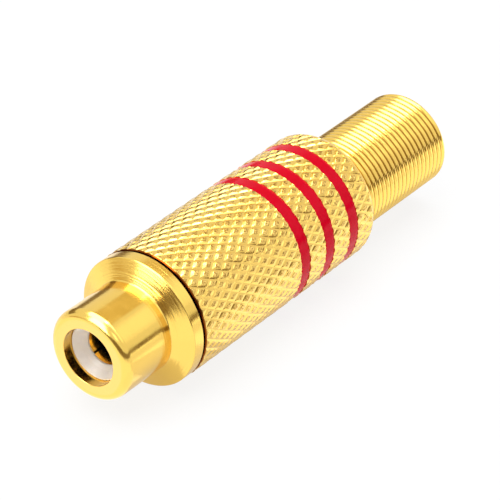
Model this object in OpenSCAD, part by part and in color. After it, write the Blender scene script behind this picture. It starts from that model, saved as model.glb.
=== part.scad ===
// In-line phono socket with a knurled screw-on sleeve and a spring cable guard.
// The socket lies on its sleeve: its axis is along Y, its mouth faces -Y,
// and the lowest knurl tips touch z = 0. All lengths are millimetres.

/* [Shell] */
// Outer diameter of the shell that a plug's skirt slides over
shell_d = 8.3; // [8.2:0.05:8.4]
// Length of the shell from its front face to the flange
shell_len = 5.72; // [5:0.1:8]
// Rounding of the shell's front edge
lip_r = 0.78; // [0.3:0.02:0.9]
// Diameter of the mouth in the front face
mouth_d = 5.24; // [5.1:0.02:5.5]

/* [Flange] */
// Diameter of the flange's rim
flange_d = 11.9; // [11:0.1:13]
// Length of the cone that joins the shell to the rim
flange_cone = 0.8; // [0.4:0.1:1.4]
// Length of the rim
flange_rim = 1.16; // [0.8:0.05:2]
// Gap left between the rim and the sleeve when it is screwed home
flange_gap = 0.32; // [0.1:0.02:0.6]

/* [Threaded neck] */
// Length of the neck behind the flange
neck_len = 5.8; // [5.4:0.1:8]
// Depth of the undercut between the flange and the thread
undercut_depth = 0.35; // [0.1:0.05:0.6]
// Length of the undercut
undercut_len = 0.8; // [0.4:0.1:1.4]
// Bevel of the neck's rear edge
neck_bevel = 0.3; // [0.1:0.05:0.5]
// Wall of the neck round the tag's washer, from the thread's crests inwards
neck_wall = 0.83; // [0.7:0.01:1]
// Thickness of the rim that is peened over the ground tag
peen_len = 0.48; // [0.3:0.02:0.8]
// How far the peened rim reaches over the tag's washer
peen_lap = 0.25; // [0.1:0.05:0.4]

/* [Insulator] */
// Depth of the insulator's face behind the shell's front face
insulator_recess = 1.0; // [0.5:0.1:2]
// Thickness of the insulator in front of the centre contact
insulator_lip = 1.17; // [0.9:0.01:1.6]
// Rounding of the insulator's front edge
insulator_edge = 0.12; // [0.06:0.02:0.3]
// Diameter where the sloping face meets the throat
throat_d = 4.04; // [3.8:0.02:4.6]
// Depth from the face's outer edge to the throat
face_slope = 0.66; // [0.3:0.02:0.7]
// Length of the throat's straight end, in front of the contact
throat_straight = 0.15; // [0.05:0.05:0.2]
// Diameter of the collar that holds the insulator from the front
insulator_collar_d = 7.16; // [6.4:0.02:7.6]
// Length of that collar
insulator_collar_len = 3.6; // [2.5:0.1:4.4]

/* [Centre contact] */
// Bore for the plug's centre pin
pin_d = 3.2; // [3.1:0.01:3.3]
// Wall of the split tube
contact_wall = 0.4; // [0.3:0.05:0.6]
// Rounding of the split tube's front edge
tube_edge = 0.15; // [0.05:0.05:0.2]
// How much wider than the pin the bore is at its mouth
lead_in = 0.15; // [0.05:0.01:0.2]
// Length over which the bore's mouth narrows to the pin
lead_in_len = 0.43; // [0.2:0.01:0.6]
// Room for the split tube to spread in the insulator
spread_room = 0.08; // [0.04:0.01:0.15]
// Depth of the bore
contact_bore_len = 7.25; // [6:0.05:8]
// Slope of the drilled bottom of the bore, in degrees
drill_slope = 31; // [20:1:45]
// Width of the two slots
slot_w = 0.2; // [0.15:0.05:0.4]
// Length of the two slots
slot_len = 5.6; // [4:0.1:6]
// Turn of the slots about the axis
slot_angle = 45; // [0:5:180]
// Diameter of the contact's pressed collar
contact_collar_d = 4.8; // [4.6:0.05:5.4]
// Length of the pressed collar
contact_collar_len = 3.0; // [2:0.1:3.4]
// Depth of the pressed collar behind the insulator's rear face
contact_sink = 0.2; // [0:0.05:0.4]
// Diameter of the solder cup
cup_d = 3.0; // [2.4:0.1:3.2]
// Diameter of the cup's bore
cup_bore_d = 2.1; // [1.4:0.1:2.2]
// Length of the open cup
cup_len = 3.0; // [2:0.1:4]
// How far the cup's bore runs on past its open part
cup_floor = 0.6; // [0.2:0.1:1]
// Length of the contact's tail behind the insulator
tail_len = 5.1; // [4.6:0.1:6]

/* [Ground tag] */
// Thickness of the sheet
tag_t = 0.5; // [0.3:0.05:0.7]
// Hole in the washer round the contact
washer_hole_d = 5.8; // [5:0.1:6.4]
// Width of the strap
strap_w = 3.2; // [2:0.1:4]
// Solder hole in the strap
solder_hole_d = 1.2; // [0.8:0.1:1.6]
// Bore of the cable clamp before it is crimped
clamp_d = 5.6; // [5:0.1:6.2]
// Length of the clamp's ears
clamp_len = 4.2; // [3:0.1:5]
// Height of the ears above the axis
ear_h = 2.1; // [1:0.1:2.8]
// Length of the strap and clamp behind the washer
tag_len = 11; // [10:0.5:12]

/* [Sleeve] */
// Diameter over the knurl's tips
sleeve_d = 12.0; // [11.8:0.1:13]
// Wall of the sleeve, from the knurl's tips to its bore
sleeve_wall = 0.8; // [0.6:0.05:1.2]
// Length of the sleeve
sleeve_len = 24.1; // [23.5:0.1:30]
// Rounding of the rear shoulder
shoulder_r = 0.95; // [0.5:0.05:1.1]
// Thickness of the rear wall that holds the spring
rear_wall = 1.6; // [1.2:0.1:2.4]
// Radial room round the spring in the rear wall's hole
rear_hole_room = 0.375; // [0.2:0.025:0.4]
// Bevel inside the sleeve's front edge
mouth_bevel = 0.2; // [0.1:0.05:0.4]
// Bevel that cuts back the knurl's tips at the sleeve's front edge
front_bevel = 0.2; // [0.1:0.05:0.24]

/* [Knurl] */
// Helical cuts in each direction
knurl_starts = 38; // [24:2:48]
// Distance between rows of tips along the axis
knurl_row_len = 0.8; // [0.6:0.05:1.2]
// Depth of the cuts
knurl_depth = 0.26; // [0.1:0.02:0.3]

/* [Enamel bands] */
// Distance from the sleeve's front edge to the first band
band_start = 13.08; // [8:0.1:14]
// Width of one band
band_w = 1.27; // [0.8:0.01:1.6]
// Distance between neighbouring bands
band_gap = 2.19; // [1.2:0.01:2.4]
// Depth of the enamel's surface below the knurl's tips
band_sink = 0.18; // [0.05:0.01:0.25]
// Thickness of the enamel
enamel_t = 0.2; // [0.1:0.01:0.22]

/* [Spring guard] */
// Diameter of the spring's wire
wire_d = 0.58; // [0.4:0.02:0.6]
// Gap between neighbouring turns
turn_gap = 0.02; // [0.02:0.01:0.2]
// Length of the guard behind the sleeve
guard_len = 12.9; // [8:0.1:20]
// Step in radius from the wide turns that hold the spring down to the guard
flare_step = 0.625; // [0.55:0.025:0.8]
// Number of wide turns
flare_turns = 2.3; // [1:0.1:4]
// Turns over which the wide turns narrow
flare_blend = 1.0; // [0.5:0.1:1.5]

/* [Liner] */
// Wall of the insulating liner
liner_wall = 0.35; // [0.2:0.05:0.5]

/* [Fits] */
// Radial clearance of the sleeve on the neck
thread_fit = 0.05; // [0.02:0.01:0.1]
// Radial clearance of seats that are pressed together
seat_fit = 0.02; // [0:0.01:0.03]
// Radial clearance of the plug's pin in the throat
throat_fit = 0.12; // [0.05:0.01:0.14]
// Radial clearance of the liner in the sleeve
liner_fit = 0.1; // [0.05:0.01:0.2]
// Radial clearance of the spring's wide turns in the sleeve
flare_fit = 0.1; // [0.05:0.01:0.2]
// Gap left under the loose spring, which lies on the lower edge of the rear wall's hole
rest_fit = 0.075; // [0.02:0.005:0.1]
// End clearance of the liner and the spring
end_fit = 0.2; // [0.1:0.05:0.4]

/* [Hidden] */

// Fineness of revolved faces, of the wire's section and of one turn of the spring
round_fn = 96;
wire_sides = 8;
turn_steps = 15;
// Overshoot of a cutter past the face that it cuts
over = 0.5;
// Share of a row that has to stay clear between a row of the knurl's net and a cut edge
row_room = 0.2;

// Places along the axis, counted from the shell's front face
cone_end = shell_len + flange_cone;
flange_back = cone_end + flange_rim;
neck_end = flange_back + neck_len;
washer_back = neck_end - peen_len;
washer_front = washer_back - tag_t;
insulator_step = washer_front - insulator_collar_len;
contact_front = insulator_recess + insulator_lip;
contact_step = washer_front - contact_sink - contact_collar_len;
cup_end = washer_front + tail_len;
clamp_end = washer_back + tag_len;
sleeve_front = flange_back + flange_gap;
sleeve_back = sleeve_front + sleeve_len;
shoulder_front = sleeve_back - rear_wall;
spring_end = sleeve_back + guard_len;

// The spring's hidden part ends clear of the rear wall, with the liner in front of it
turn_pitch = wire_d + turn_gap;
blend_end = shoulder_front - end_fit;
spring_front = blend_end - (flare_turns + flare_blend) * turn_pitch - wire_d / 2;
liner_front = neck_end + 2 * end_fit;
liner_back = spring_front - end_fit / 2;

// Radii that follow from the sleeve's own and the fits
sleeve_bore_r = sleeve_d / 2 - sleeve_wall;
thread_r = sleeve_bore_r - thread_fit;
seat_r = thread_r - neck_wall;
flare_r = sleeve_bore_r - flare_fit;
spring_r = flare_r - flare_step;
rear_hole_r = spring_r + rear_hole_room;
spring_sag = rear_hole_room - rest_fit;
floor_r = sleeve_d / 2 - band_sink - enamel_t;
throat_r = pin_d / 2 + throat_fit;
tube_r = pin_d / 2 + contact_wall;
liner_r = sleeve_bore_r - liner_fit;

// Colours as the object shows them
gold = [0.94, 0.78, 0.32];
dark_gold = [0.83, 0.62, 0.22];
ivory = [0.90, 0.87, 0.84];
red = [0.88, 0.05, 0.16];
clear_grey = [0.80, 0.82, 0.82];

// Lays a piece that is drawn along +Z down along +Y, resting on the sleeve's tips
module lay() {
    translate([0, -spring_end / 2, sleeve_d / 2]) rotate([-90, 0, 0]) children();
}

// Revolves an outline of [radius, place along the axis] into a turned piece
module turn() {
    rotate_extrude($fn = round_fn) children();
}

// Rectangle of an outline between two radii and two places
module span(r_in, r_out, from, to) {
    translate([r_in, from]) square([r_out - r_in, to - from]);
}

// What is cut away to round the corner at [r, s]; inward points into the material
module corner_cut(r, s, rounding, inward) {
    difference() {
        translate([r + (inward.x < 0 ? -rounding : -over), s + (inward.y < 0 ? -rounding : -over)])
            square(rounding + over);
        translate([r, s] + rounding * inward) circle(rounding, $fn = round_fn);
    }
}

// Shell, flange and threaded neck, turned from one bar
module socket_body() {
    color(gold) lay() turn() difference() {
        union() {
            span(0, shell_d / 2, 0, cone_end);
            polygon([[0, shell_len], [shell_d / 2, shell_len], [flange_d / 2, cone_end],
                     [flange_d / 2, flange_back], [0, flange_back]]);
            span(0, thread_r - undercut_depth, cone_end, neck_end);
            polygon([[0, flange_back + undercut_len], [thread_r, flange_back + undercut_len],
                     [thread_r, neck_end - neck_bevel], [thread_r - neck_bevel, neck_end],
                     [0, neck_end]]);
        }
        corner_cut(shell_d / 2, 0, lip_r, [-1, 1]);
        span(-over, mouth_d / 2, -over, neck_end);
        span(0, insulator_collar_d / 2 + seat_fit, insulator_step, neck_end - over);
        span(0, seat_r, washer_front, washer_back);
        span(0, seat_r - peen_lap, washer_back - over / 2, neck_end + over);
    }
}

// Moulded insulator: a face that slopes into a throat, and a collar that seats behind a step
module insulator() {
    body_r = mouth_d / 2 - seat_fit;
    face_r = body_r - insulator_edge;
    color(ivory) lay() turn() difference() {
        union() {
            span(0, body_r, insulator_recess, washer_front);
            span(0, insulator_collar_d / 2, insulator_step, washer_front);
        }
        corner_cut(body_r, insulator_recess, insulator_edge, [-1, 1]);
        polygon([[-over, insulator_recess - over],
                 [face_r, insulator_recess - over],
                 [face_r, insulator_recess],
                 [throat_d / 2, insulator_recess + face_slope],
                 [throat_r, contact_front - throat_straight],
                 [throat_r, contact_front], [-over, contact_front]]);
        span(-over, tube_r + spread_room, contact_front, washer_front - over);
        span(-over, contact_collar_d / 2 + seat_fit, contact_step, washer_front + over);
    }
}

// Split tube that grips the plug's pin, with a pressed collar and an open solder cup
module centre_contact() {
    drill_tip = pin_d / 2 * tan(drill_slope);
    color(dark_gold) lay() difference() {
        turn() difference() {
            union() {
                span(0, tube_r, contact_front, contact_step);
                span(0, contact_collar_d / 2, contact_step, contact_step + contact_collar_len);
                span(0, cup_d / 2, contact_step, cup_end);
            }
            corner_cut(tube_r, contact_front, tube_edge, [-1, 1]);
            polygon([[-over, contact_front - over], [pin_d / 2 + lead_in, contact_front - over],
                     [pin_d / 2 + lead_in, contact_front],
                     [pin_d / 2, contact_front + lead_in_len],
                     [pin_d / 2, contact_front + contact_bore_len],
                     [0, contact_front + contact_bore_len + drill_tip],
                     [-over, contact_front + contact_bore_len + drill_tip]]);
            span(-over, cup_bore_d / 2, cup_end - cup_len - cup_floor, cup_end + over);
        }
        rotate([0, 0, slot_angle])
            translate([-slot_w / 2, -tube_r - over, contact_front - over])
                cube([slot_w, 2 * (tube_r + over), slot_len + over]);
        translate([-cup_d, -cup_d - cup_bore_d / 8, cup_end - cup_len])
            cube([2 * cup_d, cup_d, cup_len + over]);
    }
}

// Ground tag pressed from sheet: washer, strap with a solder hole, and the cable clamp
module ground_tag() {
    strap_in = clamp_d / 2;
    clamp_front = clamp_end - clamp_len;
    color(gold) lay() difference() {
        union() {
            translate([0, 0, washer_front])
                cylinder(r = seat_r - seat_fit, h = tag_t, $fn = round_fn);
            translate([-strap_w / 2, strap_in, washer_front])
                cube([strap_w, tag_t, clamp_end - washer_front]);
            translate([0, 0, clamp_front])
                cylinder(d = clamp_d + 2 * tag_t, h = clamp_len, $fn = round_fn);
            translate([-clamp_d / 2 - tag_t, -ear_h, clamp_front])
                cube([clamp_d + 2 * tag_t, ear_h, clamp_len]);
        }
        translate([0, 0, washer_front - over])
            cylinder(d = washer_hole_d, h = tag_t + 2 * over, $fn = round_fn);
        translate([0, 0, clamp_front - over])
            cylinder(d = clamp_d, h = clamp_len + 2 * over, $fn = round_fn);
        translate([-clamp_d / 2, -clamp_d, clamp_front - over])
            cube([clamp_d, clamp_d, clamp_len + 2 * over]);
        translate([-clamp_d, -clamp_d - ear_h, clamp_front - over])
            cube([2 * clamp_d, clamp_d, clamp_len + 2 * over]);
        translate([0, strap_in - over, (washer_back + clamp_front) / 2]) rotate([-90, 0, 0])
            cylinder(d = solder_hole_d, h = tag_t + 2 * over, $fn = round_fn);
    }
}

// Where band number k starts along the axis
function band_front_edge(k) = sleeve_front + band_start + k * (band_w + band_gap);

// The knurl is a net of columns round the sleeve and rows along it. A point of the net is a
// tip where column plus row is even and a valley where it is odd, and it slopes in between.
knurl_cols = 2 * knurl_starts;
function wave(x) = abs(1 - (x - 2 * floor(x / 2)));

// How far place s is into the rounding of the rear shoulder, 0 before it and 1 at its end
function into_shoulder(s) = max(0, (s - sleeve_back + shoulder_r) / shoulder_r);
function shoulder_drop(s) = shoulder_r * (1 - sqrt(max(0, 1 - pow(into_shoulder(s), 2))));
function cut_depth(s) = knurl_depth * sqrt(max(0, 1 - pow(into_shoulder(s), 2)));
function bevel_drop(s) = max(0, sleeve_front + front_bevel - s);
function knurl_r(col, s) =
    sleeve_d / 2 - shoulder_drop(s)
    - max(bevel_drop(s), cut_depth(s) * (1 - wave(s / knurl_row_len + col)));

// Rows of a knurled stretch: both ends, the front bevel's inner edge, the net's own rows, and
// steps round the shoulder
function net_rows(from, to) =
    [for (k = [ceil(from / knurl_row_len + row_room) : floor(to / knurl_row_len - row_room)])
        k * knurl_row_len];
function shoulder_rows() =
    [for (a = [0 : 22.5 : 90]) sleeve_back - shoulder_r * (1 - sin(a))];
function first_rows(from) = from > sleeve_front ? [from] : [from, from + front_bevel];
function stretch_rows(from, to) = to < sleeve_back
    ? concat(first_rows(from), net_rows(from, to), [to])
    : concat(first_rows(from), net_rows(from, sleeve_back - shoulder_r), shoulder_rows());

// Splits each cell of the net from valley to valley, so that four facets meet at a tip
function cell(col, row, rows) =
    let (next = (col + 1) % knurl_cols, at = row * knurl_cols, up = at + knurl_cols,
         parity = col + floor((rows[row] + rows[row + 1]) / 2 / knurl_row_len))
    parity % 2 == 0
        ? [[at + col, at + next, up + col], [up + next, up + col, at + next]]
        : [[at + col, up + next, up + col], [at + col, at + next, up + next]];

// One knurled stretch of the sleeve as a solid plug with a fan of facets at each end;
// the bores are cut later
module knurled_stretch(from, to) {
    rows = stretch_rows(from, to);
    last = len(rows) - 1;
    front_centre = (last + 1) * knurl_cols;
    points = concat(
        [for (s = rows) for (col = [0 : knurl_cols - 1])
            let (a = 90 + col * 360 / knurl_cols, r = knurl_r(col, s)) [r * cos(a), r * sin(a), s]],
        [[0, 0, from], [0, 0, to]]);
    sides = [for (row = [0 : last - 1]) for (col = [0 : knurl_cols - 1])
        each [for (f = cell(col, row, rows)) [f[2], f[1], f[0]]]];
    ends = [for (col = [0 : knurl_cols - 1])
        let (next = (col + 1) % knurl_cols, at = last * knurl_cols)
        each [[front_centre, col, next], [front_centre + 1, at + next, at + col]]];
    polyhedron(points, concat(sides, ends));
}

// Sleeve: four knurled stretches on a bored core, with grooves left for the bands
module sleeve() {
    starts = [sleeve_front, for (k = [0 : 2]) band_front_edge(k) + band_w];
    ends = [for (k = [0 : 2]) band_front_edge(k), sleeve_back];
    color(gold) lay() difference() {
        union() {
            for (k = [0 : 3]) knurled_stretch(starts[k], ends[k]);
            translate([0, 0, sleeve_front + over])
                cylinder(r = floor_r, h = sleeve_len - shoulder_r - over, $fn = round_fn);
        }
        turn() {
            span(0, sleeve_bore_r, sleeve_front - over, shoulder_front);
            span(0, rear_hole_r, shoulder_front - over, sleeve_back + over);
            polygon([[0, sleeve_front - over], [sleeve_bore_r + mouth_bevel + over, sleeve_front - over],
                     [sleeve_bore_r, sleeve_front + mouth_bevel], [0, sleeve_front + mouth_bevel]]);
        }
    }
}

// One enamel band, filling its groove to just below the knurl's tips
module band(k) {
    color(red) lay() turn()
        span(floor_r, floor_r + enamel_t, band_front_edge(k), band_front_edge(k) + band_w);
}
module band_front() { band(0); }
module band_middle() { band(1); }
module band_rear() { band(2); }

// Centre line of the wire after t turns from the front: wide turns, then the guard itself
wire_r = wire_d / 2;
spring_turns = (spring_end - spring_front - wire_d) / turn_pitch;
function ease(x) = let (c = min(1, max(0, x))) c * c * (3 - 2 * c);
function narrowed(t) = ease((t - flare_turns) / flare_blend);
function coil_r(t) = flare_r - flare_step * narrowed(t) - wire_r;
function wire_point(t, a) =
    let (r = coil_r(t) + wire_r * cos(a), turned = 360 * t)
    [r * cos(turned), r * sin(turned) + spring_sag * narrowed(t),
     spring_front + wire_r + t * turn_pitch + wire_r * sin(a)];

// Close-wound spring guard, swept along its helix
module spring() {
    steps = ceil(spring_turns * turn_steps);
    points = [for (i = [0 : steps]) for (j = [0 : wire_sides - 1])
        wire_point(i * spring_turns / steps, j * 360 / wire_sides)];
    sides = [for (i = [0 : steps - 1]) for (j = [0 : wire_sides - 1])
        let (k = (j + 1) % wire_sides, at = i * wire_sides, next = at + wire_sides)
        each [[at + j, next + k, next + j], [at + j, at + k, next + k]]];
    start_cap = [for (j = [wire_sides - 1 : -1 : 0]) j];
    end_cap = [for (j = [0 : wire_sides - 1]) steps * wire_sides + j];
    color(gold) lay() polyhedron(points, concat(sides, [start_cap, end_cap]));
}

// Insulating liner between the ground tag and the sleeve
module liner() {
    color(clear_grey) lay() turn() span(liner_r - liner_wall, liner_r, liner_front, liner_back);
}

socket_body();
insulator();
centre_contact();
ground_tag();
sleeve();
band_front();
band_middle();
band_rear();
spring();
liner();
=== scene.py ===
# %% [markdown]
# # An in-line phono socket, dressed for its photograph
# The real thing is a small gold-plated socket that is soldered to the end of a cable. A turned
# shell with a white insulator takes the plug, a knurled sleeve with three red enamel bands
# screws over the joint, and a close-wound spring guards the cable. It lies on its side.
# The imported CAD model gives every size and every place. This lesson lays finer surfaces over
# it, gives each piece the finish of its real material, and lights it as in a small studio.

import bpy
import numpy as np
from mathutils import Matrix, Vector


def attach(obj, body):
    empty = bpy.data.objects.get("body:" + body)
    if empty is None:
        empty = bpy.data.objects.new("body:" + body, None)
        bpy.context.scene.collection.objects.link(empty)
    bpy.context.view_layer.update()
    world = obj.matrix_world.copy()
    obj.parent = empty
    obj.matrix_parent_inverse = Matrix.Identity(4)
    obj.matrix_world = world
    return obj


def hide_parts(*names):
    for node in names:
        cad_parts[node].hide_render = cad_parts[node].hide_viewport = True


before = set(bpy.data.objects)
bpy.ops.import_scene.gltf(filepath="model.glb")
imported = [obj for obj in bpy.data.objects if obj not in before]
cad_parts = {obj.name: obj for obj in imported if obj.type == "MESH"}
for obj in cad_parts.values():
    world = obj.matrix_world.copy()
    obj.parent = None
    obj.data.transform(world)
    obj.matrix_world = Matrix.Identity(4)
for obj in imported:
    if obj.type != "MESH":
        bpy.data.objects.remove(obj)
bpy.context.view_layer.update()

print("nodes:", sorted(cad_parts))

# %% [markdown]
# ## Places on a turned object
# Almost every piece of the socket is round about one axis, so a place on it has three numbers:
# how far it is behind the shell's front face, its distance from the axis, and its turn about
# the axis. It could be modelled lying on the floor straight away, but in these three numbers
# a lathe's work, a knurl and a coil all become short formulas. One function lays them down.

# %% From turned places to the frame
MM = 0.001
LENGTH = 45.0        # from the shell's front face to the spring's last turn
AXIS_Z = 6.0         # the socket rests on the sleeve's tips, 6 mm below its axis


def lay_down(s, r, turn):
    """Frame point of a turned place, in metres: x is r times the cosine of the turn, y is s less
    half the length, and z is the axis height less r times the sine of the turn."""
    s, r, turn = np.broadcast_arrays(s, r, turn)
    points = [r * np.cos(turn), s - LENGTH / 2, AXIS_Z - r * np.sin(turn)]
    return np.stack(points, axis=-1) * MM


def turns(count):
    """Equal turns round the whole circle, in radians, starting on the +X side."""
    return np.arange(count) * 2 * np.pi / count


print("the shell's face is at", np.round(lay_down(0.0, 0.0, 0.0) / MM, 2).tolist(), "mm")

# %% [markdown]
# ## From a grid of points to a mesh
# A turned skin is a grid: its rows follow the outline and its columns go round the axis. Python
# could add vertices one by one, which is slow, so whole numpy arrays go into the mesh at once.
# Rows that close on themselves make a ring with no open edge. The enclosed volume shows that
# the faces point outwards, since it comes out negative on a mesh that is inside out.

# %% Faces of a grid, and a mesh made of them
def ring_quads(rows, columns, close_rows=True):
    """Quads of a grid whose columns close round the axis, and whose rows close if asked."""
    i = np.arange(rows if close_rows else rows - 1)[:, None]
    j = np.arange(columns)[None, :]
    after, beside = (i + 1) % rows, (j + 1) % columns
    corners = [i * columns + j, i * columns + beside, after * columns + beside,
               after * columns + j]
    return np.stack(corners, axis=-1).reshape(-1, 4)


def enclosed_volume(points, faces):
    """Sum over all triangles of a fan on each face of a . (b x c) / 6."""
    total = 0.0
    for k in range(1, faces.shape[1] - 1):
        a, b, c = points[faces[:, 0]], points[faces[:, k]], points[faces[:, k + 1]]
        total += np.einsum("ij,ij->", a, np.cross(b, c)) / 6
    return total


def make_piece(name, points, face_sets, sharp_deg=32.0, uv_sets=None):
    """Puts points and faces into a mesh object; face_sets holds arrays of quads or triangles,
    and uv_sets holds a matching array of corner coordinates in millimetres for each."""
    points = points.reshape(-1, 3)
    sizes = np.concatenate([np.full(len(f), f.shape[1]) for f in face_sets])
    mesh = bpy.data.meshes.new(name)
    mesh.vertices.add(len(points))
    mesh.vertices.foreach_set("co", points.ravel())
    mesh.loops.add(int(sizes.sum()))
    mesh.loops.foreach_set("vertex_index", np.concatenate([f.ravel() for f in face_sets]))
    mesh.polygons.add(len(sizes))
    mesh.polygons.foreach_set("loop_start", np.cumsum(sizes) - sizes)
    mesh.update(calc_edges=True)
    mesh.polygons.foreach_set("use_smooth", np.ones(len(sizes), dtype=bool))
    mesh.set_sharp_from_angle(angle=np.radians(sharp_deg))
    if uv_sets is not None:
        layer = mesh.uv_layers.new(name="surface_mm")
        layer.data.foreach_set("uv", np.concatenate([u.ravel() for u in uv_sets]))
    piece = bpy.data.objects.new(name, mesh)
    bpy.context.scene.collection.objects.link(piece)
    volume = sum(enclosed_volume(points, f) for f in face_sets) / MM ** 3
    triangles = int((sizes - 2).sum())
    print(f"{name}: {len(points)} points, {triangles} triangles, {volume:.2f} mm3")
    return piece


print("a ring of 3 rows and 4 columns has", len(ring_quads(3, 4)), "quads")

# %% [markdown]
# ## Outlines with eased corners
# No turned edge is perfectly sharp: a burr is brushed off and plating rounds it a little more,
# so every edge shows as a fine bright line. A Bevel modifier could ease the corners, but on an
# outline each corner can have its own radius. Two extra points beside each arc hold the flats
# flat, because smooth shading would otherwise bend the light far into them.

# %% Ease the corners of an outline and turn it round the axis
HOLD = 0.04          # widest strip beside an arc that keeps a flat face flat
SMALL_EASE = 0.3     # eases below this radius get coarse steps, and the others fine ones
COARSE_STEP, FINE_STEP = 24, 4   # degrees of arc to a step


def ease_corner(before, corner, after, radius):
    """Arc of that radius that touches both sides of the corner, with a holding point before and
    after it; the arc's points are spread evenly between its two ends, seen from its centre."""
    if radius == 0:
        return corner[None, :]
    into, out = before - corner, after - corner
    into, out = into / np.linalg.norm(into), out / np.linalg.norm(out)
    half = np.arccos(np.clip(into @ out, -1, 1)) / 2
    cut = radius / np.tan(half)
    bisector = (into + out) / np.linalg.norm(into + out)
    centre = corner + bisector * radius / np.sin(half)
    sweep = np.pi - 2 * half
    step = COARSE_STEP if radius < SMALL_EASE else FINE_STEP
    steps = max(3, int(np.ceil(np.degrees(sweep) / step)))
    t = np.linspace(0, 1, steps + 1)[:, None]
    first, last = corner + into * cut - centre, corner + out * cut - centre
    arc = centre + (np.sin((1 - t) * sweep) * first + np.sin(t * sweep) * last) / np.sin(sweep)
    hold = min(HOLD, radius / 2)
    return np.vstack([arc[0] + into * hold, arc, arc[-1] + out * hold])


def eased_outline(corners):
    """Closed outline of (s, r) points from corners given as (s, r, radius)."""
    corners = np.array(corners, dtype=float)
    places = corners[:, :2]
    return np.vstack([
        ease_corner(places[k - 1], places[k], places[(k + 1) % len(places)], corners[k, 2])
        for k in range(len(places))])


def turned_uv(outline, quads, columns, radius=5.0):
    """Corner coordinates in mm: the length along the outline, and the turn round the axis times
    a middling radius."""
    step = np.linalg.norm(outline - np.roll(outline, 1, axis=0), axis=1)
    along = np.cumsum(step)
    row, column = quads // columns, quads % columns
    beside = np.where(column < column[:, :1], column + columns, column)
    return np.stack([along[row], beside * 2 * np.pi * radius / columns], axis=-1)


def turn_outline(name, outline, columns, sharp_deg=32.0):
    """Turned piece: every point of the outline goes once round the axis."""
    points = lay_down(outline[:, :1], outline[:, 1:], turns(columns)[None, :])
    quads = ring_quads(len(outline), columns)
    return make_piece(name, points, [quads], sharp_deg, [turned_uv(outline, quads, columns)])


square = [(0.0, 0.0, 0.1), (0.0, 1.0, 0.1), (1.0, 1.0, 0.1), (1.0, 0.0, 0.1)]
print("a 1 mm square with 0.1 mm eases has", len(eased_outline(square)), "points")

# %% [markdown]
# ## Shell, flange and threaded neck
# The real body is turned from one brass bar: a bored shell with a rounded lip, a short cone up
# to the flange, and a neck whose screw thread holds the sleeve. Sculpting would lose the exact
# sizes and a Screw modifier would want its own axis, so the outline is turned by the formula.
# The thread is a ripple in the radius that moves along by one pitch for each whole turn.

# %% Sizes and outline of the body
SHELL_R, SHELL_END, LIP_R, MOUTH_R = 4.15, 5.72, 0.78, 2.62
FLANGE_R, CONE_END, FLANGE_BACK = 5.95, 6.52, 7.68
THREAD_R, UNDERCUT_R, THREAD_FRONT, NECK_END, NECK_BEVEL = 5.15, 4.80, 8.48, 13.48, 0.30
SEAT_R, PEEN_R, WASHER_FRONT, WASHER_BACK = 4.32, 4.07, 12.5, 13.0
COLLAR_SEAT_R, COLLAR_FRONT = 3.60, 8.9
PITCH, THREAD_DEPTH, THREAD_FADE, THREAD_ROWS = 0.75, 0.30, 0.30, 76
BODY_COLUMNS = 240

# Corners are the distance behind the face, the distance from the axis, and the ease
outside = [(0.0, MOUTH_R, 0.04), (0.0, SHELL_R, LIP_R), (SHELL_END, SHELL_R, 0.12),
           (CONE_END, FLANGE_R, 0.12), (FLANGE_BACK, FLANGE_R, 0.06),
           (FLANGE_BACK, UNDERCUT_R, 0.08), (THREAD_FRONT, UNDERCUT_R, 0.06)]
inside = [(NECK_END, THREAD_R - NECK_BEVEL, 0.03), (NECK_END, PEEN_R, 0.12),
          (WASHER_BACK, PEEN_R, 0.0), (WASHER_BACK, SEAT_R, 0.0), (WASHER_FRONT, SEAT_R, 0.0),
          (WASHER_FRONT, COLLAR_SEAT_R, 0.0), (COLLAR_FRONT, COLLAR_SEAT_R, 0.0),
          (COLLAR_FRONT, MOUTH_R, 0.0)]
thread_end = NECK_END - NECK_BEVEL
body_outline = eased_outline(
    outside + [(THREAD_FRONT, THREAD_R, 0.0), (thread_end, THREAD_R, 0.0)] + inside)
first_row = int(np.flatnonzero((body_outline == [THREAD_FRONT, THREAD_R]).all(axis=1))[0])
thread_s = np.linspace(THREAD_FRONT, thread_end, THREAD_ROWS)
body_outline = np.vstack([body_outline[:first_row],
                          np.stack([thread_s, np.full(THREAD_ROWS, THREAD_R)], axis=1),
                          body_outline[first_row + 2:]])
print("the body's outline has", len(body_outline), "points")

# %% The turned body and its thread
round_axis = turns(BODY_COLUMNS)[None, :]
s_grid = np.repeat(body_outline[:, :1], BODY_COLUMNS, axis=1)
on_thread = np.zeros(len(body_outline))
on_thread[first_row:first_row + THREAD_ROWS] = np.clip(
    np.minimum(thread_s - THREAD_FRONT, thread_end - thread_s) / THREAD_FADE, 0, 1)
# Ripple: half the depth times one less the cosine of the turns counted along the helix
ripple = 0.5 - 0.5 * np.cos(2 * np.pi * (s_grid / PITCH - round_axis / (2 * np.pi)))
body_r = body_outline[:, 1:] - THREAD_DEPTH * on_thread[:, None] * ripple
body_quads = ring_quads(len(body_outline), BODY_COLUMNS)
body = make_piece("turned_body", lay_down(s_grid, body_r, round_axis), [body_quads],
                  uv_sets=[turned_uv(body_outline, body_quads, BODY_COLUMNS)])

# %% [markdown]
# ## Insulator and centre contact
# The mouth holds a moulded plastic funnel that leads the plug's pin in. Its outline is turned
# like the body's, with larger eases, as a mould gives. The contact behind the throat is a
# slotted brass tube, and the ground tag is cut and bent sheet. The CAD model already has both
# right. A CAD node's mesh is loose triangles, so a copy is welded and shaded smooth, and
# stands in for the node.

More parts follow.
